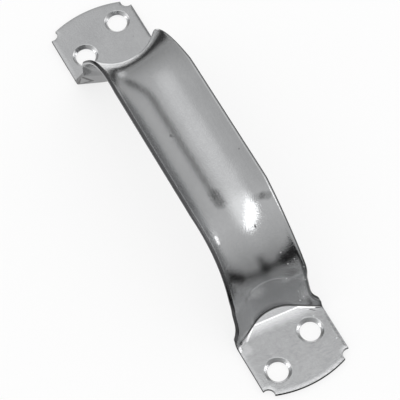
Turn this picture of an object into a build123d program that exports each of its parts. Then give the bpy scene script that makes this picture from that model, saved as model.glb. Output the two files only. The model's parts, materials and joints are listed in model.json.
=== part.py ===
from build123d import *
import os
from math import sin, cos, tan, pi, radians

os.makedirs("parts", exist_ok=True)

# A stamped door pull: one strip of sheet steel bent into a bow between two screw plates.
# The back of the plates lies on z = 0, the bow stands up in +Z and the length runs along X.

# Overall sizes
length = 165.0
plate_width = 32.0
sheet = 1.5

# Bow, measured along the valley of its dished face
crown_height = 32.4
bend_radius = 22.6
riser_angle = radians(70)

# Screw plates, measured from the crease at mid-width to the rounded end
plate_length = 29.7
end_arc_rise = 2.3
corner_width = 2.9
nick_inset = 0.76
crease_radius = 0.7

# Dish across the strip: share of the half width that is arc, and slope of the flank beyond it.
# The press left the foot at the -X end flatter than the other.
bow_dish = (0.9, radians(44))
foot_dishes = {1: (0.52, radians(29)), -1: (0.6, radians(22))}
lip_round = 0.6

# Half width of the strip, taken at the upper corner of its lip
lip_inset = 2.6
draw_in = 0.65
flare = 2.9
flare_height = 9.5

# Screw holes: one near the riser and one near the end, set on a diagonal
inner_hole_inset = 16.7
outer_hole_inset = 9.3
side_hole_inset = 7.8
hole_diameter = 7.0
countersink_diameter = 9.1
countersink_angle = 82.0

# Lengths along the strip that follow from the sizes above
half_plate = plate_width / 2
half_strip = half_plate - lip_inset
plate_end = length / 2
foot_x = plate_end - plate_length
bend_length = bend_radius * riser_angle
bend_end_z = crown_height - bend_radius * (1 - cos(riser_angle))
bend_end_x = foot_x - (bend_end_z - sheet) / tan(riser_angle)
half_flat = bend_end_x - bend_radius * sin(riser_angle)
bend_end = half_flat + bend_length
foot = bend_end + (bend_end_z - sheet) / sin(riser_angle)
flare_start = foot - flare_height / sin(riser_angle)
strip_end = foot + 3 * sheet / sin(riser_angle)


def valley(run):
    """Plane square to the valley line at a distance along the strip from its middle."""
    if run <= half_flat:
        x, z, turn = run, crown_height, 0.0
    elif run <= bend_end:
        turn = (run - half_flat) / bend_radius
        x = half_flat + bend_radius * sin(turn)
        z = crown_height - bend_radius * (1 - cos(turn))
    else:
        turn = riser_angle
        x = bend_end_x + (run - bend_end) * cos(turn)
        z = bend_end_z - (run - bend_end) * sin(turn)
    return x, z, turn


def ease(value, low, high):
    """Soft step from 0 at low to 1 at high."""
    u = min(max((value - low) / (high - low), 0), 1)
    return u * u * (3 - 2 * u)


def half_width(run):
    """Half width of the strip: drawn in at the bends, flared out to the plate at the foot."""
    if half_flat < run < bend_end:
        return half_strip - draw_in * sin(pi * (run - half_flat) / bend_length)
    return half_strip + flare * (max(run - flare_start, 0) / (foot - flare_start)) ** 2


def dish(run, side):
    """Radius and flank angle of the dish, steepest over the bow and settling down the riser."""
    mix = ease(run, bend_end, flare_start)
    share, angle = (bow + (low - bow) * mix for bow, low in zip(bow_dish, foot_dishes[side]))
    return share * half_strip / sin(angle), angle


def lip_points(radius, angle, width):
    """Corners of one half of the section, valley at the origin: y across, z away from the door."""
    along = Vector(cos(angle), sin(angle))
    through = Vector(sin(angle), -cos(angle))
    flank = Vector(radius * sin(angle), radius * (1 - cos(angle)))
    lip = flank + along * ((width - flank.X) / cos(angle))
    edge = lip + through * (sheet - lip_round)
    corner = edge - along * lip_round + (along + through) * (lip_round / 2 ** 0.5)
    under_edge = lip + through * sheet - along * lip_round
    under_flank = flank + through * sheet
    return flank, lip, edge, corner, under_edge, under_flank


def steps(start, stop, count):
    """Even steps from start to stop, the start left out."""
    return [start + (stop - start) * k / count for k in range(1, count + 1)]


# Stretches of the strip, each with stations of its own: the crown, then a bend, riser and foot a side
half_stretches = [
    [half_flat] + steps(half_flat, bend_end, 4),
    [bend_end] + steps(bend_end, flare_start, 2),
    [flare_start] + steps(flare_start, strip_end, 3),
]
stretches = [[(-1, half_flat), (1, half_flat)]]
stretches += [[(side, run) for run in runs] for side in (-1, 1) for runs in half_stretches]

# Nicks: circles through the tips of the end arc, centred just inside the blank's corners
tip_x = plate_end - end_arc_rise
tip_half_width = half_plate - corner_width
nick_x = tip_x - nick_inset
nick_y = half_plate - nick_inset
nick_radius = ((tip_x - nick_x) ** 2 + (nick_y - tip_half_width) ** 2) ** 0.5

# The creases lie nearer the middle than this, the outlines of the screw plates further out
crease_limit = plate_end - plate_length * 2 / 3

# Middle of the riser wall at mid-width, half way through the thickness of the plate
wall_x = foot_x + sheet / 2 / tan(riser_angle) - sheet / 2 / sin(riser_angle)

# Screw holes: the inner one and the outer one lie on opposite sides of the middle
hole_y = half_plate - side_hole_inset
inner_hole = (plate_end - inner_hole_inset, hole_y)
outer_hole = (plate_end - outer_hole_inset, -hole_y)

with BuildPart() as door_pull:
    # Bow and feet: the dished section carried along the bent strip
    for stretch in stretches:
        for side, run in stretch:
            x, z, turn = valley(run)
            right = lip_points(*dish(run, side), half_width(run))
            left = [Vector(-p.X, p.Y) for p in right]
            square = Plane(
                origin=(side * x, 0, z),
                x_dir=(0, 1, 0),
                z_dir=(cos(turn), 0, -side * sin(turn)),
            )
            with BuildSketch(square):
                with BuildLine():
                    ThreePointArc(left[0], (0, 0), right[0])
                    Line(right[0], right[1])
                    Line(right[1], right[2])
                    ThreePointArc(right[2], right[3], right[4])
                    Line(right[4], right[5])
                    ThreePointArc(right[5], (0, -sheet), left[5])
                    Line(left[5], left[4])
                    ThreePointArc(left[4], left[3], left[2])
                    Line(left[2], left[1])
                    Line(left[1], left[0])
                make_face()
        loft(ruled=len(stretch) == 2)
    # Trim the feet level with the back of the plates and flush with their sides
    Box(
        length,
        plate_width,
        2 * crown_height,
        align=(Align.CENTER, Align.CENTER, Align.MIN),
        mode=Mode.INTERSECT,
    )

    # Screw plates: inner edge inside the riser wall, rounded outer end, a nick at each corner
    for side in (-1, 1):
        foot_radius, foot_angle = dish(foot, side)
        foot_arc_y = foot_radius * sin(foot_angle)
        foot_arc_x = wall_x + foot_radius * (1 - cos(foot_angle)) / sin(riser_angle)
        foot_side_x = foot_arc_x + (half_plate - foot_arc_y) * tan(foot_angle) / sin(riser_angle)
        with BuildSketch(Plane.XY):
            with BuildLine():
                ThreePointArc(
                    (side * foot_arc_x, -foot_arc_y),
                    (side * wall_x, 0),
                    (side * foot_arc_x, foot_arc_y),
                )
                Line((side * foot_arc_x, foot_arc_y), (side * foot_side_x, half_plate))
                Line((side * foot_side_x, half_plate), (side * tip_x, half_plate))
                Line((side * tip_x, half_plate), (side * tip_x, tip_half_width))
                ThreePointArc(
                    (side * tip_x, tip_half_width),
                    (side * plate_end, 0),
                    (side * tip_x, -tip_half_width),
                )
                Line((side * tip_x, -tip_half_width), (side * tip_x, -half_plate))
                Line((side * tip_x, -half_plate), (side * foot_side_x, -half_plate))
                Line((side * foot_side_x, -half_plate), (side * foot_arc_x, -foot_arc_y))
            make_face()
            with Locations((side * nick_x, nick_y), (side * nick_x, -nick_y)):
                Circle(nick_radius, mode=Mode.SUBTRACT)
        extrude(amount=sheet)

    # Bend lines: tight inside the crease, one sheet thickness more on the back
    top_edges = door_pull.edges().filter_by_position(Axis.Z, sheet, sheet)
    fillet(top_edges.filter_by(lambda e: abs(e.center().X) < crease_limit), radius=crease_radius)
    back_edges = door_pull.edges().filter_by_position(Axis.Z, 0, 0)
    fillet(back_edges.filter_by(lambda e: abs(e.center().X) < crease_limit), radius=crease_radius + sheet)

    # Countersunk screw holes, turned end for end on the second plate
    spots = [(side * x, side * y, sheet) for side in (-1, 1) for x, y in (inner_hole, outer_hole)]
    with Locations(*spots):
        CounterSinkHole(
            radius=hole_diameter / 2,
            counter_sink_radius=countersink_diameter / 2,
            depth=sheet,
            counter_sink_angle=countersink_angle,
        )

door_pull.part.label = "door_pull"
export_step(door_pull.part, "parts/door_pull.step")
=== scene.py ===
# %% [markdown]
# A stamped door pull in bright zinc plating. The real one is a single strip of sheet steel: the press
# dishes its middle into a trough, bends it up into a bow and leaves a flat screw plate at each end.
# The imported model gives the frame, so every piece made here sits exactly where the solid part sits.

# %% Load the fixed frame
import json
from math import asin, atan2, cos, hypot, pi, radians, sin, sqrt, tan

import bpy
import bmesh
import numpy as np
from mathutils import Matrix, Vector
from mathutils.geometry import delaunay_2d_cdt

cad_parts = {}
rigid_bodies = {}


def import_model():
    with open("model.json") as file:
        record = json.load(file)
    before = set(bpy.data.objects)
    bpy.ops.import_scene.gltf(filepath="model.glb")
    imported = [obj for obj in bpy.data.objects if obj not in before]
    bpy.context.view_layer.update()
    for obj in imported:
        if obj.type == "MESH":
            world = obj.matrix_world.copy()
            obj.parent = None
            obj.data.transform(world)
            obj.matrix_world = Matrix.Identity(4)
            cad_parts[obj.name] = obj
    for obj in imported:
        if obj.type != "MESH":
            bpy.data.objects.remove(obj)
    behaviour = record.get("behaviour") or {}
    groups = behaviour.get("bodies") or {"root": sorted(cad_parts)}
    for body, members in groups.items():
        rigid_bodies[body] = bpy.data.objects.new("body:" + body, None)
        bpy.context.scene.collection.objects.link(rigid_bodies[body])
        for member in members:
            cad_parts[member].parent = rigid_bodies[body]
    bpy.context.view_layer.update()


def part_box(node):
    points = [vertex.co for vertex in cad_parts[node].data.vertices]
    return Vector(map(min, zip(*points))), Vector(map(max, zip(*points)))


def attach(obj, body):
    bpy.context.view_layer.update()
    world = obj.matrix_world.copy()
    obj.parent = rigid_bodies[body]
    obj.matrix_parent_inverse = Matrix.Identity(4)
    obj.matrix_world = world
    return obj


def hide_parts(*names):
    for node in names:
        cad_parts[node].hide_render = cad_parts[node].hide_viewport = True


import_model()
MM = 0.001


# %% [markdown]
# The camera comes first, because every later choice is judged through it. The photograph was taken
# from above the near screw plate with a long lens, which keeps the two plates nearly the same size.
# The camera was solved from the hole centres and plate corners, and is written as a place, the point
# it looks at and a small roll about its line of sight.


# %% Camera
def new_object(name, data):
    """An object that shows some data, linked to the scene."""
    made = bpy.data.objects.new(name, data)
    bpy.context.scene.collection.objects.link(made)
    return made


CAMERA_PLACE = Vector((297.32, -137.87, 605.52)) * MM
CAMERA_TARGET = Vector((14.348, -4.664, 20.0)) * MM
CAMERA_ROLL = radians(-3.6328)
CAMERA_LENS = 180.58
CAMERA_SENSOR = 36.0
CAMERA_CLIP = (0.01, 20.0)

camera_data = bpy.data.cameras.new("camera")
camera_data.lens = CAMERA_LENS
camera_data.sensor_width = CAMERA_SENSOR
camera_data.clip_start, camera_data.clip_end = CAMERA_CLIP
camera = new_object("camera", camera_data)
line_of_sight = (CAMERA_TARGET - CAMERA_PLACE).to_track_quat("-Z", "Y").to_matrix()
camera.matrix_world = Matrix.Translation(CAMERA_PLACE) @ (
    line_of_sight @ Matrix.Rotation(CAMERA_ROLL, 3, "Z")
).to_4x4()
bpy.context.scene.camera = camera
bpy.context.scene.view_settings.view_transform = "Standard"
print("camera to object:", round((CAMERA_TARGET - CAMERA_PLACE).length, 3), "m")

# %% [markdown]
# Shader maths reads best as plain expressions. A node graph is only a sum written with wires, so this
# small class wraps a socket and lets Python's own operators add the Math nodes. Every other node comes
# from one function: the node's type, what goes into its sockets, its settings and its outputs.


# %% Shader expressions
class Wire:
    """An output socket that can be used in sums; each operator adds a Math node."""

    def __init__(self, tree, socket):
        self.tree = tree
        self.socket = socket

    def sum_with(self, operation, *values):
        inputs = dict(enumerate(values))
        return node(self.tree, "ShaderNodeMath", inputs, {"operation": operation})

    def __add__(self, other):
        return self.sum_with("ADD", self, other)

    __radd__ = __add__

    def __sub__(self, other):
        return self.sum_with("SUBTRACT", self, other)

    def __rsub__(self, other):
        return self.sum_with("SUBTRACT", other, self)

    def __mul__(self, other):
        return self.sum_with("MULTIPLY", self, other)

    def __pow__(self, other):
        return self.sum_with("POWER", self, other)

    def at_least(self, low):
        return self.sum_with("MAXIMUM", self, low)

    def clipped(self):
        return self.sum_with("MINIMUM", self.at_least(0.0), 1.0)

    def held(self, low, high):
        return node(self.tree, "ShaderNodeClamp", {0: self, 1: low, 2: high})

    def within(self, inner, outer):
        """1 where the value is nearer to zero than the inner limit, 0 past the outer one."""
        return 1 - (self * self).step(inner**2, outer**2)

    def step(self, low, high):
        """Soft step from 0 at low to 1 at high."""
        settings = {"interpolation_type": "SMOOTHSTEP"}
        return node(self.tree, "ShaderNodeMapRange", {0: self, 1: low, 2: high}, settings)

    def axes(self):
        """The three coordinates of a vector."""
        return node(self.tree, "ShaderNodeSeparateXYZ", {0: self}, output=("X", "Y", "Z"))


def node(tree, kind, inputs=None, settings=None, output=0):
    """Add a node, with a value or a link for each socket; gives one output or several."""
    made = tree.nodes.new(kind)
    for name, value in (settings or {}).items():
        setattr(made, name, value)
    for name, value in (inputs or {}).items():
        if isinstance(value, Wire):
            tree.links.new(value.socket, made.inputs[name])
        else:
            made.inputs[name].default_value = value
    if isinstance(output, tuple):
        return [Wire(tree, made.outputs[name]) for name in output]
    return Wire(tree, made.outputs[output]) if made.outputs else None


def attribute(tree, name):
    """A mark that the mesh carries on its points."""
    return node(tree, "ShaderNodeAttribute", settings={"attribute_name": name}, output="Fac")


def new_material(name, made):
    """The empty node tree of a new material on an object."""
    material = bpy.data.materials.new(name)
    material.use_nodes = True
    material.node_tree.nodes.clear()
    made.data.materials.append(material)
    return material.node_tree


print("shader helpers ready")

# %% [markdown]
# Length and width are read from the frame, so they can't drift. The others are the named sizes of the
# strip in millimetres, worked out from the photograph as the solid's were. The rest follows from them,
# measured along the strip from its middle.

# %% Sizes of the pull
_, high_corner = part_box("door_pull")
plate_end = high_corner[0] / MM
half_plate = high_corner[1] / MM
SHEET = 1.5
CROWN_HEIGHT = 32.4
BEND_RADIUS = 22.6
RISER_ANGLE = radians(70)
PLATE_LENGTH = 29.7
END_ARC_RISE = 2.3
CORNER_WIDTH = 2.9
NICK_INSET = 0.76
INNER_CREASE = 0.75
OUTER_CREASE = INNER_CREASE + SHEET
# A dish: how much of the strip's half width is arc, and how steep the flank beyond it is.
BOW_DISH = (0.9, radians(44))
FOOT_DISHES = {1: (0.52, radians(29)), -1: (0.6, radians(22))}
LIP_INSET = 2.6
DRAW_IN = 0.65
FLARE = 2.9
FLARE_HEIGHT = 9.5
# An ear, for each end and lip: how high up the riser it starts to flare, and how late it opens.
EARS = {
    (1, True): (6.5, 4.0),
    (1, False): (8.0, 4.0),
    (-1, True): (9.5, 2.0),
    (-1, False): (23.0, 1.7),
}
BEND_EASE = 6.0

half_strip = half_plate - LIP_INSET
foot_x = plate_end - PLATE_LENGTH
bend_end_z = CROWN_HEIGHT - BEND_RADIUS * (1 - cos(RISER_ANGLE))
bend_end_x = foot_x - (bend_end_z - SHEET) / tan(RISER_ANGLE)
half_flat = bend_end_x - BEND_RADIUS * sin(RISER_ANGLE)
bend_end = half_flat + BEND_RADIUS * RISER_ANGLE
foot = bend_end + (bend_end_z - SHEET) / sin(RISER_ANGLE)
flare_start = foot - FLARE_HEIGHT / sin(RISER_ANGLE)
strip_end = foot + 3 * SHEET / sin(RISER_ANGLE)  # past the door face, so that every row lands
print("crown half length", round(half_flat, 2), "mm, foot at run", round(foot, 2), "mm")

# %% [markdown]
# The strip is one sheet, so it is described by where a point of its section goes: how far along the
# bent valley line, and how far out to the side. The dish is an arc that runs on into a straight flank,
# and the underside is the same dish one sheet thickness further out.


# %% The bent valley line and the dish
ACROSS = 73
LINE_STEP = 0.02
LINE_SPARE = 4.0
share = np.linspace(-1, 1, ACROSS)


def soft_step(value, low, high):
    u = np.clip((value - low) / (high - low), 0, 1)
    return u * u * (3 - 2 * u)


def turned_so_far(run):
    """Turn of the strip added up along its run, which only turns over the bend."""
    past = np.clip(run - half_flat, 0, bend_end - half_flat)
    return past**2 / (2 * BEND_RADIUS) + RISER_ANGLE * np.maximum(run - bend_end, 0)


line_runs = np.arange(0, strip_end + LINE_SPARE, LINE_STEP)
ahead, behind = turned_so_far(line_runs + BEND_EASE), turned_so_far(line_runs - BEND_EASE)
line_turns = (ahead - behind) / (2 * BEND_EASE)
middle_turns = (line_turns[1:] + line_turns[:-1]) / 2
line_x = np.concatenate([[0], np.cumsum(np.cos(middle_turns) * LINE_STEP)])
line_z = CROWN_HEIGHT - np.concatenate([[0], np.cumsum(np.sin(middle_turns) * LINE_STEP)])


def valley(run):
    """Place and turn of the valley line at distances along the strip from its middle."""
    return (np.interp(run, line_runs, line) for line in (line_x, line_z, line_turns))


def half_width(run, side, right):
    """Half width at the upper corner of a lip: drawn in at the bends, flared out at the foot."""
    across_bend = np.clip((run - half_flat) / (bend_end - half_flat), 0, 1)
    rise, power = EARS[side, right]
    start = foot - rise / sin(RISER_ANGLE)
    down_flare = np.maximum(run - start, 0) / (foot - start)
    return half_strip - DRAW_IN * np.sin(pi * across_bend) + FLARE * down_flare**power


def dish(run, side):
    """Radius and flank slope of the dish, settling from the bow's to the foot's down the riser."""
    mix = soft_step(run, bend_end, flare_start)
    arc, slope = (bow + (low - bow) * mix for bow, low in zip(BOW_DISH, FOOT_DISHES[side]))
    return arc * half_strip / np.sin(slope), slope


def depth(y, radius, slope, below):
    """Height of the dish over its valley at y, on a surface that lies so far below the face."""
    outer = radius + below
    arc_end = outer * np.sin(slope)
    on_arc = radius - np.sqrt(np.maximum(outer**2 - np.minimum(np.abs(y), arc_end) ** 2, 0))
    return on_arc + np.maximum(np.abs(y) - arc_end, 0) * np.tan(slope)


def lip_limit(run, side, below):
    """Half width at each point across the face or underside, never past the plates' sides."""
    slope = dish(run, side)[1]
    width = np.where(share > 0, half_width(run, side, True), half_width(run, side, False))
    return np.minimum(width + below * np.sin(slope), half_plate)


def strip_point(run, y, side, below):
    """Points of the strip's face or underside."""
    x, z, turn = valley(run)
    rise = depth(y, *dish(run, side), below)
    return np.stack([side * (x + rise * np.sin(turn)), y, z + rise * np.cos(turn)], -1)


lip_rise = float(depth(half_strip, *dish(0.0, 1), 0))
print("lip rises", round(lip_rise, 2), "mm over the valley at the crown")

# %% [markdown]
# One row of the mesh is a ring round the section: across the face, over one lip, back across the
# underside and over the other lip. The lips of a stamping are never knife sharp, so each corner of the
# edge gets a small round. A curve with its middle handle on the corner makes that round in any
# direction, which suits a lip that tilts along the whole strip.

# %% One ring round the section
LIP_STEPS = 4
LIP_POINTS = 2 * LIP_STEPS
RING = 2 * (ACROSS + LIP_POINTS)
BOW_ROUND = 0.6
PLATE_ROUND = 0.2
PLATE_UNDER_ROUND = 0.12


def rounded(start, corner, end):
    """Points of a small round from start to end, with its handle on the corner."""
    start, corner, end = (np.array(point) for point in (start, corner, end))
    t = np.linspace(0, 1, LIP_STEPS + 1)[:, None]
    return (1 - t) ** 2 * start + 2 * t * (1 - t) * corner + t**2 * end


def lip_profile(face_edge, face_corner, under_corner, under_edge):
    """Points over a lip, from the edge of the face to the edge of the underside."""
    down = under_corner - face_corner
    down = down / np.linalg.norm(down)
    first = np.linalg.norm(face_corner - face_edge)
    last = np.linalg.norm(under_corner - under_edge)
    over = rounded(face_edge, face_corner, face_corner + down * first)
    back = rounded(under_corner - down * last, under_corner, under_edge)
    return np.concatenate([over[1:], back[:-1]])


def ring(face, under, face_corners, under_corners):
    """A closed ring from a row of face points, one of underside points and the lip corners."""
    right = lip_profile(face[-1], face_corners[1], under_corners[1], under[-1])
    left = lip_profile(face[0], face_corners[0], under_corners[0], under[0])
    return np.concatenate([face, right, under[::-1], left[::-1]])


print("points in a ring:", RING)

# %% [markdown]
# Down each riser the strip lands on the flat plate along a curved crease. The crease is reached at a
# different run for every point across the strip, so the run is found by halving an interval. Then a
# few small rows turn round the crease: tight on the face and one sheet larger underneath.


# %% Rows down the riser and round the crease
CROWN_ROWS = 22
BEND_ROWS = 52
RISER_ROWS = 36
CREASE_ROWS = 9
HALVINGS = 40


def wall_run(level, side, below, inset):
    """Run at which each point across the wall comes down to a level."""
    near = np.full(ACROSS, bend_end)
    far = np.full(ACROSS, strip_end)
    for _ in range(HALVINGS):
        middle = (near + far) / 2
        y = share * (lip_limit(middle, side, below) - inset)
        over = strip_point(middle, y, side, below)[:, 2] > level
        near = np.where(over, middle, near)
        far = np.where(over, far, middle)
    return (near + far) / 2


def crease_rows(wall, side, radius, floor, inset):
    """Rows round the crease, from the wall's last row to the plate."""
    arc = np.linspace(RISER_ANGLE, 0, CREASE_ROWS + 1)[1:]
    plate_y = share * (half_plate - inset)
    centre_x = wall[:, 0] + side * radius * sin(RISER_ANGLE)
    blend = 1 - (1 - np.cos(arc)) / (1 - cos(RISER_ANGLE))
    rows = []
    for angle, mix in zip(arc, blend):
        x = centre_x - side * radius * sin(angle)
        y = wall[:, 1] + (plate_y - wall[:, 1]) * mix
        z = np.full(ACROSS, floor + radius * (1 - cos(angle)))
        rows.append(np.stack([x, y, z], -1))
    return rows


def surface_rows(side, below, radius, floor, inset_of):
    """Rows of one face of a half strip, from its middle to the plate."""
    crown = np.linspace(0, half_flat, CROWN_ROWS + 1)
    bend = np.linspace(half_flat, bend_end, BEND_ROWS + 1)[1:]

    def row(along):
        y = share * (lip_limit(along, side, below) - inset_of(float(along[0])))
        return strip_point(along, y, side, below)

    rows = [row(np.full(ACROSS, run)) for run in np.concatenate([crown, bend])]
    inset = inset_of(foot)
    last = wall_run(floor + radius * (1 - cos(RISER_ANGLE)), side, below, inset)
    for step in np.linspace(0, 1, RISER_ROWS + 1)[1:]:
        rows.append(row(bend_end + (last - bend_end) * step))
    return rows + crease_rows(rows[-1], side, radius, floor, inset)


def leaving(bow, plate):
    """Room left for a lip's round, settling from its size on the bow to that on the plate."""

    def inset_of(run):
        mix = float(soft_step(run, bend_end, flare_start))
        return (bow + (plate - bow) * mix) * cos(BOW_DISH[1])

    return inset_of


def half_rings(side):
    """Rings of one half of the strip, from its middle to the join with the plate."""
    face = (side, 0.0, INNER_CREASE, SHEET)
    under = (side, SHEET, OUTER_CREASE, 0.0)
    all_rows = zip(
        surface_rows(*face, leaving(BOW_ROUND, PLATE_ROUND)),
        surface_rows(*under, leaving(BOW_ROUND, PLATE_UNDER_ROUND)),
        surface_rows(*face, leaving(0.0, 0.0)),
        surface_rows(*under, leaving(0.0, 0.0)),
    )
    return [ring(f, u, (fl[0], fl[-1]), (ul[0], ul[-1])) for f, u, fl, ul in all_rows]


rings = {side: half_rings(side) for side in (1, -1)}
print("rings a side:", len(rings[1]), "last ring at x", rings[1][-1][ACROSS // 2].round(2))

# %% [markdown]
# Each screw plate is a flat blank with a rounded end and a small round nick at each corner. Only the
# half from the crease outwards is drawn, once, and the second plate is the same outline turned end
# for end.


# %% Outline of a screw plate
SIDE_SPACING = 0.6
NICK_POINTS = 14
END_POINTS = 49
LEAST_MITRE = 0.4


def arc_points(centre, radius, start, end, count):
    angles = np.linspace(start, end, count)
    return [(centre[0] + radius * cos(a), centre[1] + radius * sin(a)) for a in angles]


def plate_outline(join_x):
    """Outline of a plate at +X, from the join at +Y round the end to the join at -Y."""
    tip_x = plate_end - END_ARC_RISE
    tip_y = half_plate - CORNER_WIDTH
    nick = (tip_x - NICK_INSET, half_plate - NICK_INSET)
    nick_radius = hypot(tip_x - nick[0], tip_y - nick[1])
    nick_side = nick[0] - sqrt(nick_radius**2 - NICK_INSET**2)
    end_radius = (tip_y**2 + END_ARC_RISE**2) / (2 * END_ARC_RISE)
    end_angle = asin(tip_y / end_radius)
    side_steps = 1 + int((nick_side - join_x) / SIDE_SPACING)
    half = [(x, half_plate) for x in np.linspace(join_x, nick_side, side_steps + 1)[1:-1]]
    start = atan2(NICK_INSET, nick_side - nick[0])
    end = atan2(tip_y - nick[1], tip_x - nick[0]) + 2 * pi
    half += arc_points(nick, nick_radius, start, end, NICK_POINTS)
    centre = (plate_end - end_radius, 0)
    middle = arc_points(centre, end_radius, end_angle, -end_angle, END_POINTS)
    other = [(x, -y) for x, y in reversed(half)]
    return np.array(half + middle[1:-1] + other)


def inset_outline(points, distance, start, end):
    """The outline moved inwards, mitred at its corners; start and end are its neighbours."""
    chain = np.vstack([start, points, end])
    along = np.diff(chain, axis=0)
    along /= np.linalg.norm(along, axis=1)[:, None]
    inwards = np.stack([along[:, 1], -along[:, 0]], -1)
    mitre = inwards[:-1] + inwards[1:]
    mitre /= np.maximum((mitre * inwards[1:]).sum(-1), LEAST_MITRE)[:, None]
    return points + mitre * distance


print("outline points:", len(plate_outline(60.0)))

# %% [markdown]
# The blanking die rolls the upper edge of a plate down by some 0.15 mm before it shears. On polished
# metal that faint slope catches the light as a pale band along the rim, so it is real geometry here:
# the top of the plate is filled with small triangles and lowered near its edge. A constrained
# triangulation keeps the rim, the join and the hole circles exactly where they are.

# %% Plate faces with their edge roll and holes
ROLL_DEPTH = 0.15
ROLL_WIDTH = 1.5
ROLL_SETS_IN = (0.3, 4.0)
INNER_HOLE = 16.7
OUTER_HOLE = 9.3
HOLE_TO_SIDE = 7.8
HOLES = (
    (plate_end - INNER_HOLE, half_plate - HOLE_TO_SIDE),
    (plate_end - OUTER_HOLE, HOLE_TO_SIDE - half_plate),
)
SINK_RADIUS = 9.1 / 2
HOLE_RADIUS = 7.0 / 2
SINK_SLOPE = radians(82 / 2)
RIM_ROUND = 0.1
HOLE_STEPS = 72
SEED_CLEARANCE = 0.55
SAME_POINT = 1e-7


def distance_to(points, chain):
    """Shortest distance from each point to a chain of short segments."""
    start = chain[:-1]
    step = chain[1:] - start
    best = np.full(len(points), np.inf)
    for a, d in zip(start, step):
        t = np.clip(((points - a) @ d) / (d @ d), 0, 1)
        best = np.minimum(best, np.linalg.norm(points - (a + t[:, None] * d), axis=1))
    return best


def edge_roll(points, outline, join_x):
    """How far the face has rolled down at each point, fading out towards the crease."""
    near = np.clip(1 - distance_to(points, outline) / ROLL_WIDTH, 0, 1)
    start, end = (join_x + past for past in ROLL_SETS_IN)
    return ROLL_DEPTH * near**2 * soft_step(points[:, 0], start, end)


def circle(centre, radius):
    last = 2 * pi * (1 - 1 / HOLE_STEPS)
    return np.array(arc_points(centre, radius, 0, last, HOLE_STEPS))


def inside(points, loop):
    """Which points lie inside a closed loop, by counting crossings."""
    hit = np.zeros(len(points), bool)
    for (x0, y0), (x1, y1) in zip(loop, np.roll(loop, -1, axis=0)):
        crosses = (y0 > points[:, 1]) != (y1 > points[:, 1])
        slope_x = x0 + (points[:, 1] - y0) * (x1 - x0) / (y1 - y0 if y1 != y0 else 1.0)
        hit ^= crosses & (points[:, 0] < slope_x)
    return hit


def off_holes(points, radius):
    """Which points lie outside a circle round each hole."""
    return np.all([np.linalg.norm(points - hole, axis=1) > radius for hole in HOLES], axis=0)


def fill(loop, hole_radius, spacing):
    """Triangles of a flat face bounded by a loop, with the two screw holes left open."""
    holes = [circle(centre, hole_radius) for centre in HOLES]
    xs = np.arange(loop[:, 0].min(), loop[:, 0].max(), spacing)
    ys = np.arange(loop[:, 1].min(), loop[:, 1].max(), spacing)
    seeds = np.array([(x + spacing / 2 * (k % 2), y) for k, y in enumerate(ys) for x in xs])
    closed = np.vstack([loop, loop[:1]])
    clearance = spacing * SEED_CLEARANCE
    keep = inside(seeds, loop) & (distance_to(seeds, closed) > clearance)
    keep &= off_holes(seeds, hole_radius + clearance)
    chains = [loop] + holes
    points = np.vstack(chains + [seeds[keep]])
    edges = []
    first = 0
    for chain in chains:
        count = len(chain)
        edges += [(first + k, first + (k + 1) % count) for k in range(count)]
        first += count
    made = delaunay_2d_cdt([Vector(p) for p in points], edges, [], 0, SAME_POINT)
    places = np.array([tuple(p) for p in made[0]])
    triangles = np.array(made[2])
    centres = places[triangles].mean(axis=1)
    keep = inside(centres, loop) & off_holes(centres, hole_radius * cos(pi / HOLE_STEPS))
    return places, triangles[keep]


print("hole centres at +X:", [(round(x, 1), round(y, 1)) for x, y in HOLES])

# %% [markdown]
# The pieces are sewn into one closed skin: each hands over its points and faces, and points that meet
# are welded by distance later, which is simpler than keeping count of shared corners. Each point also
# carries marks from 0 to 1 that tell the plating where the metal was sheared, creased or rolled, and
# where highlights and shade are painted.


# %% Sew the skin together
MARKS = ("cut_edge", "crease_line", "burr", "glint", "shade", "roll")


class Skin:
    """Points, faces and marks of all parts of the surface, in millimetres."""

    def __init__(self):
        self.points = []
        self.faces = []
        self.marks = {name: [] for name in MARKS}
        self.count = 0

    def add(self, points, faces, **marks):
        """Add points and faces; a mark that isn't given is 0."""
        self.points.append(np.asarray(points, float))
        self.faces += [tuple(self.count + k for k in face) for face in faces]
        for name, values in self.marks.items():
            values.append(np.broadcast_to(marks.get(name, 0.0), len(points)).astype(float))
        self.count += len(points)

    def add_rows(self, rows, closed=True, flip=True, **marks):
        """Quads between neighbouring rows of equal length."""
        width = len(rows[0])
        last = width if closed else width - 1
        faces = []
        for r in range(len(rows) - 1):
            for k in range(last):
                n = (k + 1) % width
                quad = (r * width + k, r * width + n, (r + 1) * width + n, (r + 1) * width + k)
                faces.append(quad[::-1] if flip else quad)
        marks = {name: np.concatenate(values) for name, values in marks.items()}
        self.add(np.vstack(rows), faces, **marks)


skin = Skin()
print("marks the skin carries:", ", ".join(MARKS))

# %% [markdown]
# The bow goes in first, with its marks on it. Its two edges were sheared, and the plating paints shade
# along them as a dark line. It also paints shade in the crease at each foot, and in a rough band along
# one lip of the near riser.


# %% The bow and its marks
LIP_SHADE_START = 0.955
LIP_SHADE_FADE = 0.03
LIP_SHADE_FADE_ROWS = 12
LIP_SHADE_FIRST_ROW = (CROWN_ROWS + BEND_ROWS) * 4 // 5


def lip_mark():
    """1 on the sheared part of both lips of a ring."""
    mark = np.zeros(RING)
    for first in (ACROSS, RING - LIP_POINTS):
        mark[first + LIP_STEPS - 1 : first + LIP_POINTS] = 1.0
    return mark


def burr_marks(side, count):
    """Rings' marks: 1 on a band of painted shade on the face beside the right lip of the near riser."""
    rim = np.zeros(RING)
    rim[:ACROSS] = np.clip((share - LIP_SHADE_START) / LIP_SHADE_FADE, 0, 1)
    strength = np.clip((np.arange(count) - LIP_SHADE_FIRST_ROW) / LIP_SHADE_FADE_ROWS, 0, 1)
    return np.outer(strength * (side > 0), rim)


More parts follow.
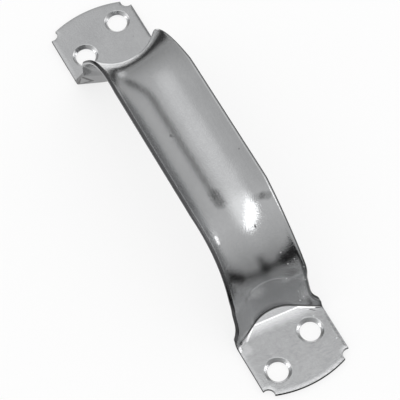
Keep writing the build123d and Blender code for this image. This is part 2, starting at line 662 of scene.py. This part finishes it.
def crease_marks(count):
    """Rings' marks: 1 in the pit of the crease on the face, where the plating paints shade."""
    rows = np.zeros((count, RING))
    across_pit = np.sqrt(np.abs(np.sin(np.linspace(0, pi, CREASE_ROWS + 1))))
    rows[-CREASE_ROWS - 1 :, :ACROSS] = across_pit[:, None]
    return rows


for side in (1, -1):
    count = len(rings[side])
    skin.add_rows(
        rings[side],
        flip=side < 0,
        cut_edge=[lip_mark()] * count,
        crease_line=crease_marks(count),
        burr=burr_marks(side, count),
    )
print("bow points:", skin.count, "faces:", len(skin.faces))

# %% [markdown]
# A countersunk hole is a short stack of circles. It could be cut with a boolean, but the stack gives
# each of its three edges its small round: the rim, the land where the cone ends and the lip at the
# back. The cone's marks say where the plating paints a highlight and where it paints shade.


# %% Countersunk holes
LAND_ROUND = 0.06
LAND_RISE = 0.07
LAND_DROP = 0.09


def turned(points, side):
    """A plate's points, turned end for end for the plate at -X."""
    return np.asarray(points) * (side, side, 1)


def sink_marks(side):
    """Marks round a countersink: where a highlight is painted, and where shade is painted."""
    around = np.arange(HOLE_STEPS) * 360 / HOLE_STEPS + (0 if side > 0 else 180)

    def near(angle, spread):
        off = (around - angle + 180) % 360 - 180
        return np.exp(-((off / spread) ** 2))

    glint = near(-125, 20) + near(92, 18) + 0.6 * near(-25, 32)
    return np.minimum(glint, 1), near(-78, 18) + near(42, 18) + 0.35 * near(165, 40)


def sink_profile():
    """Radius and height of the circles of a hole, from the face down to the back."""
    land = SHEET - (SINK_RADIUS - HOLE_RADIUS) / tan(SINK_SLOPE)
    down_cone = (SINK_RADIUS - RIM_ROUND * sin(SINK_SLOPE), SHEET - RIM_ROUND * cos(SINK_SLOPE))
    outer = rounded((SINK_RADIUS + RIM_ROUND, SHEET), (SINK_RADIUS, SHEET), down_cone)
    up_cone, down_bore = (HOLE_RADIUS + LAND_ROUND, land + LAND_RISE), (HOLE_RADIUS, land - LAND_DROP)
    inner = rounded(up_cone, (HOLE_RADIUS, land), down_bore)
    back = rounded((HOLE_RADIUS, RIM_ROUND), (HOLE_RADIUS, 0.0), (HOLE_RADIUS + RIM_ROUND, 0.0))
    return np.vstack([outer, inner, back])


def add_holes(side):
    """The two screw holes of a plate."""
    glint, shade = sink_marks(side)
    profile = sink_profile()
    on_cone = np.arange(len(profile)) > 1
    for centre in HOLES:
        rows = [np.column_stack([circle(centre, r), np.full(HOLE_STEPS, z)]) for r, z in profile]
        rows = [turned(row, side) for row in rows]
        skin.add_rows(rows, glint=np.outer(on_cone, glint), shade=np.outer(on_cone, shade))


print("circles in a hole:", len(sink_profile()))

# %% [markdown]
# A plate is sewn to the last ring of its half. Its rim is the lip profile again, swept round the
# outline, and its face and back are filled with triangles. Both plates are made at +X and the one at
# -X is turned into place, so they can't differ.


# %% The screw plates
JOIN_GAP = 0.5
FACE_SPACING = 0.42
BACK_SPACING = 1.6
ON_RIM = 1e-4


def last_ring(side):
    """The last ring of a half, turned to +X: its face, right lip, underside and left lip."""
    last = turned(rings[side][-1], side)
    if side < 0:
        last = last[(ACROSS - 1 - np.arange(RING)) % RING]
    return np.split(last, (ACROSS, ACROSS + LIP_POINTS, RING - LIP_POINTS))


def add_plate(side):
    """Rim, face and back of one screw plate."""
    face_join, right, under_join, left = last_ring(side)
    join_x = max(face_join[-1, 0], under_join[0, 0], face_join[0, 0], under_join[-1, 0])
    outline = plate_outline(join_x + JOIN_GAP)
    start, end = (join_x, half_plate), (join_x, -half_plate)
    chain = np.vstack([start, outline, end])

    face_rim = inset_outline(outline, PLATE_ROUND, start, end)
    under_rim = inset_outline(outline, PLATE_UNDER_ROUND, start, end)
    drop = edge_roll(outline, chain, join_x)
    rows = [np.vstack([face_join[-1:], right, under_join[:1]])]
    for outer, upper, lower, fall in zip(outline, face_rim, under_rim, drop):
        first, corner = np.array([*upper, SHEET - fall]), np.array([*outer, SHEET - fall])
        below, last = np.array([*outer, 0.0]), np.array([*lower, 0.0])
        rows.append(np.vstack([first, lip_profile(first, corner, below, last), last]))
    rows.append(np.vstack([face_join[:1], left[::-1], under_join[-1:]]))
    sheared = np.zeros(LIP_POINTS + 2)
    sheared[LIP_STEPS : LIP_STEPS + 2] = 1.0
    rows = [turned(row, side) for row in rows]
    skin.add_rows(rows, closed=False, cut_edge=[sheared] * len(rows))

    face_loop = np.vstack([face_join[:, :2], face_rim])
    places, triangles = fill(face_loop, SINK_RADIUS + RIM_ROUND, FACE_SPACING)
    fall = edge_roll(places, chain, join_x)
    on_rim = distance_to(places, face_rim) < ON_RIM
    nearest = [np.argmin(np.linalg.norm(face_rim - place, axis=1)) for place in places[on_rim]]
    fall[on_rim] = edge_roll(outline[nearest], chain, join_x)
    face = np.column_stack([places, SHEET - fall])
    skin.add(turned(face, side), triangles, roll=np.sqrt(fall / ROLL_DEPTH))

    under_loop = np.vstack([under_join[::-1, :2], under_rim])
    places, triangles = fill(under_loop, HOLE_RADIUS + RIM_ROUND, BACK_SPACING)
    back = np.column_stack([places, np.zeros(len(places))])
    skin.add(turned(back, side), triangles[:, ::-1])


for side in (1, -1):
    add_plate(side)
    add_holes(side)
print("skin points:", skin.count, "faces:", len(skin.faces))

# %% [markdown]
# The skin becomes one mesh object, named "roll". It stands for the CAD solid in the picture and rides
# on the part's only body. Shading is smooth, with sharp edges only past a limit angle, which keeps the
# bends flowing and the nick corners crisp.

# %% The pull as one mesh object
SHARP_ANGLE = radians(40)
WELD = 2e-6


def skin_object(name):
    mesh = bpy.data.meshes.new(name)
    mesh.from_pydata((np.vstack(skin.points) * MM).tolist(), [], skin.faces)
    for mark, values in skin.marks.items():
        data = mesh.attributes.new(mark, "FLOAT", "POINT").data
        data.foreach_set("value", np.concatenate(values).astype(np.float32))
    editable = bmesh.new()
    editable.from_mesh(mesh)
    bmesh.ops.remove_doubles(editable, verts=editable.verts, dist=WELD)
    bmesh.ops.recalc_face_normals(editable, faces=editable.faces)
    open_edges = sum(1 for edge in editable.edges if len(edge.link_faces) != 2)
    editable.to_mesh(mesh)
    editable.free()
    mesh.shade_smooth()
    mesh.set_sharp_from_angle(angle=SHARP_ANGLE)
    print(name, "points", len(mesh.vertices), "faces", len(mesh.polygons), "open edges", open_edges)
    return new_object(name, mesh)


pull = skin_object("roll")
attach(pull, "root")
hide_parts("door_pull")

# %% [markdown]
# Bright zinc plating is a thin, slightly cloudy mirror. A plain metal shader would look like plastic
# chrome, because real plating is uneven at every scale. These few tools make each layer of it: noise
# of a given size, specks in a grid of cells, a blend of two colours, and a soft stroke drawn between
# two places on the metal.


# %% Tools for the plating
SOFT = 0.95


def blotches(place, size, detail=2.0, roughness=0.5, stretch=(1, 1, 1)):
    """Noise with blotches of a size in millimetres, stretched along the axes."""
    scale = tuple(1 / (size * MM * along) for along in stretch)
    mapped = node(place.tree, "ShaderNodeMapping", {"Vector": place, "Scale": scale})
    inputs = {"Vector": mapped, "Scale": 1.0, "Detail": detail, "Roughness": roughness}
    return node(place.tree, "ShaderNodeTexNoise", inputs)


def specks(place, spacing, radius, kept):
    """1 on small round specks: one in each cell of a spacing, of which only a share is kept."""
    tree = place.tree
    mapped = node(tree, "ShaderNodeMapping", {"Vector": place, "Scale": (1 / (spacing * MM),) * 3})
    inputs = {"Vector": mapped, "Scale": 1.0}
    distance, colour = node(tree, "ShaderNodeTexVoronoi", inputs, output=("Distance", "Color"))
    chance = node(tree, "ShaderNodeSeparateColor", {0: colour})
    spot = 1 - (distance * spacing).step(radius * 0.5, radius)
    return spot * chance.step(1 - kept, 1.001 - kept)


def mixed(factor, first, second):
    """The first colour, passing into the second as the factor goes from 0 to 1."""
    inputs = {"Factor": factor, 6: first, 7: second}
    return node(factor.tree, "ShaderNodeMix", inputs, {"data_type": "RGBA"}, 2)


def stroke(u, v, start, end, width, soft=0.3):
    """1 along a straight stroke on two coordinates in millimetres, with soft sides and ends."""
    long = hypot(end[0] - start[0], end[1] - start[1])
    way = ((end[0] - start[0]) / long, (end[1] - start[1]) / long)
    along = ((u - start[0]) * way[0] + (v - start[1]) * way[1]).held(0.0, long)
    off_u = u - start[0] - along * way[0]
    off_v = v - start[1] - along * way[1]
    inner, outer = width * (0.5 - soft / 2), width * (0.5 + soft / 2)
    return 1 - (off_u * off_u + off_v * off_v).step(inner**2, outer**2)


print("plating tools ready")

# %% [markdown]
# The metal tells how it was made. When the press let go, the near plate sprang back a little along a
# line, too slightly for the mesh, so the bump shows it. Painted highlights stand for glints near the
# foot and on a lip, and painted shade and dark reflections lie on the bow and at the ears, with a few
# dots of dirt. One ear at the far end was folded over, and thin lines of painted shade mark its back.
# A pressed arc on the riser gets a painted highlight and painted shade. Each mark is a stroke at its
# own place.


# %% Marks of making and of handling
SPRING_LINE = 55.9
SPRING_SKEW = 0.073
SPRING_REACH = 5.0
FOLD_CORNERS = ((-16.2, 12.7), (-11.6, 4.7), (-16.0, 1.2))
FOLD_WIDTH = 1.1


def spring_back(past):
    """Height in mm of the near plate over a flat one: it dips past its line, then rises again."""
    before = past.held(-SPRING_REACH, 0.0)
    dip = past.held(0.0, SPRING_REACH)
    beyond = (past - SPRING_REACH).at_least(0.0)
    return before * -0.035 + dip * dip * 0.014 - dip * 0.09 + beyond * 0.05


def painted_highlights(x, y, z, past, grain):
    """1 on painted highlights: glints near the foot and on a lip, and a pale line along a pressed arc
    on the riser.
    """
    line = past.within(0.1, 0.4) * y.within(8.0, 10.0) * 0.5
    fade = (1 - past.step(0.2, 5.0)) * past.step(-0.3, 0.2) * (1 - (y * y).step(150.0, 250.0)) * 0.3
    curl = stroke(x, y, (55.9, -8.2), (59.3, -12.0), 0.7) * 0.6
    left_glint = stroke(x, y, (60.2, -15.2), (61.5, -15.45), 0.75)
    left_glow = stroke(x, y, (60.9, -14.1), (61.9, -13.7), 2.8, SOFT) * 0.22
    right_glint = stroke(x, y, (56.75, 9.0), (58.9, 13.2), 0.85)
    right_tip = stroke(x, y, (58.9, 13.2), (59.6, 15.3), 0.9)
    on_foot = line + fade + curl + left_glint + left_glow + right_glint + right_tip
    lip_glint = stroke(x, y, (35.3, -9.65), (37.0, -9.82), 1.1, SOFT) ** 4
    arc_highlight = stroke(y, z, (-5.2, 13.5), (-3.3, 13.8), 0.5)
    arc_highlight = arc_highlight + stroke(y, z, (-3.3, 13.8), (6.8, 13.85), 0.45)
    arc_highlight = arc_highlight * x.step(46.0, 47.0) * 0.25
    marks = on_foot * (1 - z.step(1.6, 1.9)) + lip_glint + arc_highlight
    return (marks * (0.75 + grain * 0.5)).clipped()


def dirt_and_painted_shade(x, y, z, grain):
    """Share of dark marks: painted dark reflections on the bow, a few dots of dirt, and painted shade
    beside a pressed arc on the riser and in the small folds at the ears.
    """
    speckle = (grain - 0.42).step(0.0, 0.16)
    dark_reflection = stroke(x, y, (30.1, 10.2), (31.4, 11.7), 2.1, SOFT) ** 4 * 0.5
    dark_reflection = dark_reflection + stroke(x, y, (29.2, 8.2), (29.8, 10.0), 2.2, SOFT) ** 4 * 0.3
    streak_end = stroke(x, y, (21.0, -2.4), (24.4, -2.5), 4.0, SOFT) ** 4
    dots = stroke(x, y, (-5.2, -4.6), (-5.0, -4.6), 0.9) * 0.5
    dots = dots + stroke(x, y, (36.2, 4.0), (36.5, 4.1), 0.6) * 0.8
    arc_shade = stroke(y, z, (-7.6, 13.1), (-5.2, 13.4), 1.1, 0.9) * x.step(46.0, 47.0) * 0.25
    on_bow = dark_reflection * (0.6 + speckle * 0.4) + streak_end * (0.2 + speckle * 0.5) + dots + arc_shade
    rough_edge = 0.3 + speckle * 0.7
    right_fold_shade = stroke(x, y, (59.4, 11.8), (60.4, 13.0), 0.45) * 0.6
    left_fold_shade = stroke(x, y, (57.5, -15.6), (59.0, -14.2), 1.2) * rough_edge
    on_plate = (right_fold_shade + left_fold_shade) * (1 - z.step(2.2, 2.6))
    ear_shade = stroke(x, z, (55.9, 5.2), (57.4, 1.9), 2.0) * y.step(11.2, 13.2)
    return (on_bow + on_plate + ear_shade * rough_edge).clipped()


def fold_shade_lines(y, z):
    """Thin lines of painted shade on the back of the far riser, where its ear was folded over."""
    ends = FOLD_CORNERS[1:] + FOLD_CORNERS[:1]
    first, second, third = (stroke(y, z, a, b, FOLD_WIDTH) for a, b in zip(FOLD_CORNERS, ends))
    return (first + second + third).clipped()


print("marks ready")

# %% [markdown]
# The plating itself is one metal shader. Soft clouds from the bath, mottle, grain and the drawing lines
# along the strip vary its colour, roughness and bump a little. Specks, painted highlights and painted
# shade are then laid over the colour one by one, from the faint pits to the painted shade on the
# sheared edges and in the crease.

# %% Zinc plating
ZINC_DULL = (0.355, 0.36, 0.365, 1.0)
ZINC_BRIGHT = (0.445, 0.45, 0.455, 1.0)
PAINTED_EDGE_SHADE = (0.05, 0.05, 0.052, 1.0)
PIT_AND_SHADE_GREY = (0.10, 0.10, 0.10, 1.0)
PAINTED_SHADE_AND_DIRT = (0.03, 0.03, 0.03, 1.0)
SPECK_WHITE = (0.85, 0.86, 0.87, 1.0)
PAINTED_HIGHLIGHT_WHITE = (0.93, 0.93, 0.94, 1.0)
PLATING_ROUGHNESS = 0.13


def zinc_plating(made):
    tree = new_material("zinc_plating", made)
    place, facing = node(tree, "ShaderNodeTexCoord", output=("Object", "Normal"))
    x, y, z = (axis * (1 / MM) for axis in place.axes())
    sheared, crease, burr, glint, shaded, roll = (attribute(tree, name) for name in MARKS)
    clouds = blotches(place, 9.0, 3.0)
    waves = blotches(place, 7.0, 1.0, 0.4)
    mottle = blotches(place, 1.3, 3.0, 0.6)
    grain = blotches(place, 0.5, 2.0, 0.7)
    fine = blotches(place, 0.3, 2.0, 0.7)
    drawn = blotches(place, 0.4, 2.0, 0.5, (24, 1, 1))
    rolled = blotches(place, 0.55, 2.0, 0.6, (1, 4, 1))
    plates = 1 - z.step(1.6, 2.4)
    near_plate = x.step(56.0, 58.0) * plates
    near_riser = x.step(51.0, 53.5) * (1 - plates)
    far_back = facing.axes()[0].step(-0.1, 0.1) * (1 - x.step(-48.0, -47.0)) * (1 - plates)
    near_bend = x.step(22.0, 30.0) * (1 - x.step(44.0, 47.0))
    past = x - y * SPRING_SKEW - SPRING_LINE

    tone = 0.5 + (clouds - 0.5) * 0.7 + (mottle - 0.5) * 0.5 + (grain - 0.5) * 0.4
    tone = tone + (drawn - 0.5) * 0.4
    tone = tone + ((grain - 0.5) * 0.8 + (rolled - 0.5) * 1.2 * near_plate) * plates
    pits = specks(place, 7.0, 0.45, 0.3) * (0.4 + mottle)
    pale = specks(place, 2.6, 0.28, 0.55) * near_plate
    dust = specks(place, 1.7, 0.3, 0.4) * x.step(43.0, 46.0) * y.step(6.5, 8.0) * (1 - plates)
    layers = (
        (pits * 0.6, PIT_AND_SHADE_GREY),
        (pale * 0.6 + dust * 0.7, SPECK_WHITE),
        # Painted highlights: glints near the foot, on a lip, along a pressed arc and in the
        # countersinks.
        (painted_highlights(x, y, z, past, grain), PAINTED_HIGHLIGHT_WHITE),
        (glint, PAINTED_HIGHLIGHT_WHITE),
        # Painted shade in the countersinks.
        (shaded * (0.4 + grain * 0.6), PIT_AND_SHADE_GREY),
        # Painted highlight along the near plate's rolled rim.
        (roll * 0.4 * near_plate * y.step(-14.0, 10.0), PAINTED_HIGHLIGHT_WHITE),
        # Painted dark reflections and shade with a few dots of dirt, then painted shade in the far fold
        # lines.
        (dirt_and_painted_shade(x, y, z, (grain + fine) * 0.5) * 0.9, PAINTED_SHADE_AND_DIRT),
        (fold_shade_lines(y, z) * far_back, PAINTED_SHADE_AND_DIRT),
        # Painted shade: a rough dark band along the near riser's right lip.
        (burr * (0.45 + grain * 0.7), PAINTED_SHADE_AND_DIRT),
        # Painted shade: a dark line along the sheared edges.
        (sheared * 0.9, PAINTED_EDGE_SHADE),
        # Painted shade in the crease at each foot, stronger on one side.
        (crease * (0.35 + y.step(-13.5, -9.5) * 0.65) * 0.95, PAINTED_SHADE_AND_DIRT),
    )
    colour = mixed(tone.clipped(), ZINC_DULL, ZINC_BRIGHT)
    for cover, paint in layers:
        colour = mixed(cover.clipped(), colour, paint)

    rough = PLATING_ROUGHNESS + (clouds - 0.5) * 0.08 + (mottle - 0.5) * 0.10 + (grain - 0.5) * 0.06
    rough = rough + sheared * 0.15 + crease * 0.2 + near_plate * 0.05
    rough = rough + near_riser * 0.09 - near_bend * 0.03
    height = waves * 0.010 + mottle * (0.005 + near_bend * 0.012)
    height = height + grain * (0.045 + near_bend * 0.01) + drawn * 0.0012 + spring_back(past)
    bump = node(tree, "ShaderNodeBump", {"Strength": 1.0, "Distance": MM, "Height": height})
    inputs = {"Base Color": colour, "Roughness": rough.clipped(), "Normal": bump}
    inputs["Metallic"] = (1 - dust * 0.7).clipped()
    shader = node(tree, "ShaderNodeBsdfPrincipled", inputs)
    node(tree, "ShaderNodeOutputMaterial", {"Surface": shader})
    return len(tree.nodes)


print("plating:", zinc_plating(pull), "nodes")

# %% [markdown]
# Polished metal shows whatever stands round it, so the studio is mostly a matter of reflections. Pale
# paper lies under the pull, and a white surround lights it softly from every side. Seen by the metal
# alone, both are toned down: the floor is less white than the camera sees it, and the surround dims
# towards the horizon beyond the pull's two ends. All white would leave the bow flat.

# %% Floor and surround
WHITE = (1, 1, 1, 1)
FLOOR_COLOUR = (0.95, 0.95, 0.95, 1.0)
FLOOR_HALF = 6000
FLOOR_LEVEL = -0.2
FLOOR_SEEN = 0.75
FLOOR_REFLECTED = 0.6
HORIZON_DIM = 0.5


def stage_object(name, points, faces):
    """A mesh in millimetres that stands in the scene but isn't part of the object."""
    mesh = bpy.data.meshes.new(name)
    mesh.from_pydata([tuple(value * MM for value in point) for point in points], [], faces)
    made = new_object(name, mesh)
    return made


def rectangle(name, half_x, half_y):
    signs = ((-1, -1), (1, -1), (1, 1), (-1, 1))
    return stage_object(name, [(x * half_x, y * half_y, 0) for x, y in signs], [(0, 1, 2, 3)])


def pale_floor():
    """Paper, partly plain white: most for the camera, less for reflections, none for light."""
    floor = rectangle("floor", FLOOR_HALF, FLOOR_HALF)
    floor.location.z = FLOOR_LEVEL * MM
    tree = new_material("floor_paper", floor)
    rays = ("Is Camera Ray", "Is Glossy Ray", "Is Transmission Ray")
    camera_ray, glossy, through = node(tree, "ShaderNodeLightPath", output=rays)
    white = (camera_ray * FLOOR_SEEN + (glossy + through) * FLOOR_REFLECTED).clipped()
    paper = node(tree, "ShaderNodeBsdfDiffuse", {"Color": FLOOR_COLOUR})
    glow = node(tree, "ShaderNodeEmission", {"Color": WHITE, "Strength": 1.0})
    both = node(tree, "ShaderNodeMixShader", {0: white, 1: paper, 2: glow})
    node(tree, "ShaderNodeOutputMaterial", {"Surface": both})


def surround():
    """White, but for reflections dimmer towards the horizon beyond the pull's two ends."""
    world = bpy.data.worlds.new("surround")
    bpy.context.scene.world = world
    world.use_nodes = True
    tree = world.node_tree
    tree.nodes.clear()
    along, _, height = node(tree, "ShaderNodeTexCoord", output="Generated").axes()
    glossy = node(tree, "ShaderNodeLightPath", output="Is Glossy Ray")
    strength = 1 - glossy * HORIZON_DIM * (1 - height).clipped() * (along * along) ** 0.5
    background = node(tree, "ShaderNodeBackground", {"Color": WHITE, "Strength": strength})
    node(tree, "ShaderNodeOutputWorld", {"Surface": background})


pale_floor()
surround()
print("floor and surround set")

# %% [markdown]
# What stood round the pull in the photograph is known only from its reflections: a lamp with its haze,
# a dark pole, and dark and dim places on the table and beyond. Each is a card with soft edges that adds
# light or holds it back. Only reflections see the cards, so they throw no shadow and light nothing.
# They hang overhead, stand round the pull, or lie on the floor, some as a wedge that fills a range of
# directions seen from one point.


# %% Cards for the reflections
FAR_OFF = 3000.0
LOWEST_CARD = -0.15
CARD_GAP = 0.004
WEDGE_POINTS = 13


def soft_card(made, u, v, light, dark, soft):
    """Finish a card: its face adds light or holds it back, and only reflections see it."""
    tree = u.tree
    back = node(tree, "ShaderNodeNewGeometry", output="Backfacing")
    mask = u.within(1 - soft[0], 1.0) * v.within(1 - soft[1], 1.0) * (1 - back)
    clear = node(tree, "ShaderNodeBsdfTransparent", {"Color": 1 - mask * dark})
    glow = node(tree, "ShaderNodeEmission", {"Color": WHITE, "Strength": mask * light})
    both = node(tree, "ShaderNodeAddShader", {0: clear, 1: glow})
    node(tree, "ShaderNodeOutputMaterial", {"Surface": both})
    made.visible_camera = False
    made.visible_shadow = False
    made.visible_diffuse = False
    made.visible_transmission = False
    made.visible_volume_scatter = False


def card(name, place, size, light=0.0, dark=0.0, soft=(0.5, 0.5), turn=0.0, aim=None):
    """A rectangular card, in millimetres, turned in its own plane and facing a point."""
    half_x, half_y = size[0] / 2, size[1] / 2
    made = rectangle(name, half_x, half_y)
    facing = Matrix.Identity(3)
    if aim is not None:
        facing = (Vector(aim) - Vector(place)).to_track_quat("Z", "Y").to_matrix()
    facing = facing @ Matrix.Rotation(turn, 3, "Z")
    made.matrix_world = Matrix.Translation(Vector(place) * MM) @ facing.to_4x4()
    tree = new_material(name, made)
    u, v, _ = node(tree, "ShaderNodeTexCoord", output="Object").axes()
    u, v = u * (1 / (half_x * MM)), v * (1 / (half_y * MM))
    soft_card(made, u, v, light, dark, soft)


def overhead(name, x, y, long, wide, turn=0.0, light=0.0, soft=0.5, lift=0.0):
    """A card hung face down, placed and sized as if it were one unit up."""
    place = (x * FAR_OFF, y * FAR_OFF, FAR_OFF + lift)
    size = (long * FAR_OFF, wide * FAR_OFF)
    card(name, place, size, light, 0.0, (soft, soft), pi - turn, (place[0], place[1], 0))


def standing(name, azimuth, low, high, wide, light=0.0, dark=0.0, soft=0.5, nearer=0.0):
    """A card standing between two elevations, as wide as an angle."""
    away = FAR_OFF - nearer
    bottom, top = away * tan(radians(low)), away * tan(radians(high))
    height = (bottom + top) / 2
    place = (away * cos(radians(azimuth)), away * sin(radians(azimuth)), height)
    size = (2 * away * tan(radians(wide / 2)), top - bottom)
    card(name, place, size, light, dark, (soft, soft), 0.0, (0, 0, height))


def next_level():
    """Height of the next card on the floor, a hair over the one before it."""
    return LOWEST_CARD + CARD_GAP * len(bpy.data.objects)


def on_floor(name, x_range, y_range, dark, fade):
    """A dark card on the floor, from where to where, and how wide its soft edge is."""
    middle = (sum(x_range) / 2, sum(y_range) / 2, next_level())
    size = (x_range[1] - x_range[0], y_range[1] - y_range[0])
    card(name, middle, size, dark=dark, soft=(2 * fade / size[0], 2 * fade / size[1]))


def floor_wedge(name, eye, azimuths, elevations, dark=0.0, soft=0.5, light=0.0):
    """A card on the floor that fills a range of directions, in degrees, seen from a point."""
    steps = np.linspace(-1, 1, WEDGE_POINTS)
    v, u = np.repeat(steps, WEDGE_POINTS), np.tile(steps, WEDGE_POINTS)
    height = next_level()
    down = np.radians(-(sum(elevations) + v * (elevations[1] - elevations[0])) / 2)
    azimuth = np.radians((sum(azimuths) + u * (azimuths[1] - azimuths[0])) / 2)
    reach = (eye[2] - height) / np.tan(down)
    x, y = eye[0] + reach * np.cos(azimuth), eye[1] + reach * np.sin(azimuth)
    row = WEDGE_POINTS
    corners = [r * row + k for r in range(row - 1) for k in range(row - 1)]
    quads = [(first, first + row, first + row + 1, first + 1) for first in corners]
    made = stage_object(name, zip(x, y, np.full(len(u), height)), quads)
    for mark, values in (("u", u), ("v", v)):
        made.data.attributes.new(mark, "FLOAT", "POINT").data.foreach_set("value", values)
    tree = new_material(name, made)
    soft_card(made, attribute(tree, "u"), attribute(tree, "v"), light, dark, (soft, soft))


print("card makers ready")

# %% [markdown]
# Each card was placed by working out which way a part of the bow looks. The lamp core makes the bright
# spot on the near bend, the pole the long streak down the trough, and the dark wedges the arch across
# the near riser, each as its own part of the arch sees it. The height of a card on the floor comes
# from how many objects there are already, so the order of these lines matters.

# %% The cards in place
overhead("lamp_core", 0.25, -0.27, 1.15, 0.42, radians(39), light=2.2, soft=0.4)
overhead("lamp_glow", 0.03, -0.2, 0.9, 1.2, light=0.5, soft=0.3, lift=10)
overhead("lamp_haze", -0.35, -0.27, 1.9, 1.1, light=0.28, soft=1.0, lift=20)
standing("dark_pole", 135, 0.5, 60, 11, dark=0.65, soft=0.25)
standing("dark_pole_top", 131, 40, 58, 22, dark=0.4, soft=0.8, nearer=40)
standing("side_lamp", 90, 9, 15, 11, light=1.2, nearer=20)
standing("dark_end", 4, -4, 10, 14, dark=0.85, soft=0.45, nearer=20)
floor_wedge("dark_left", (48, -8.5, 24.5), (43, 75), (-32, -10), 0.95, 0.28)
floor_wedge("dim_left", (50, -3, 22), (2, 52), (-33, -12), 0.65, 0.4)
floor_wedge("dark_middle", (50, 1, 21.5), (-6, 11), (-28, -0.7), 0.9, 0.4)
floor_wedge("dark_middle_right", (50, 3, 22), (-36, 4), (-24.5, -7.5), 0.85, 0.2)
floor_wedge("dark_right", (49, 9, 24), (-82, -25), (-26.5, -3), 0.97, 0.2)
on_floor("dim_beside_right", (50, 92), (17, 28), 0.6, 4)
on_floor("dark_beyond_far", (-215, -86), (-75, 140), 0.93, 5)
# Painted shadow: these dark cards under and beside the pull, with those under its holes, stand in for
# its own shadow on the table as its reflections see it.
on_floor("shadow_under", (-40, 50), (-60, 60), 0.85, 10)
on_floor("dim_under_far", (-60, -38), (-60, 10), 0.3, 3)
on_floor("dim_past_end", (83, 104), (-45, 45), 0.4, 5)
on_floor("dim_floor_near", (86, 5500), (-3000, 3000), 0.45, 20)
on_floor("dim_floor_far", (-2500, -190), (-2000, 2000), 0.4, 30)
on_floor("dim_floor_left", (-52, 86), (-3000, -17), 0.45, 2)
on_floor("dim_floor_right", (-90, 86), (28, 3000), 0.6, 10)
on_floor("shade_end", (79.5, 84.2), (-17, 17), 0.9, 0.4)
on_floor("shade_side_near", (52, 82), (-17.2, -15.4), 0.9, 0.3)
on_floor("shade_side_far", (-82, -64), (-17.2, -15.6), 0.7, 0.3)
floor_wedge("pale_beyond_far", (-35, -8.5, 33), (137, 149), (-11, -0.6), light=1.0)
card("bounce_far", (-64.5, 1.5, 2.2), (17, 15), light=0.75)
card("bounce_far_side", (-84, 15.5, 2.2), (24, 12.5), light=1.0)
card("bounce_near", (70, 2, 2.2), (34, 36), light=0.09, soft=(0.4, 0.4))
for number, (x, y) in enumerate(HOLES):
    on_floor(f"dim_under_hole_{number}", (x - 4, x + 4), (y - 4, y + 4), 0.2, 0.2)
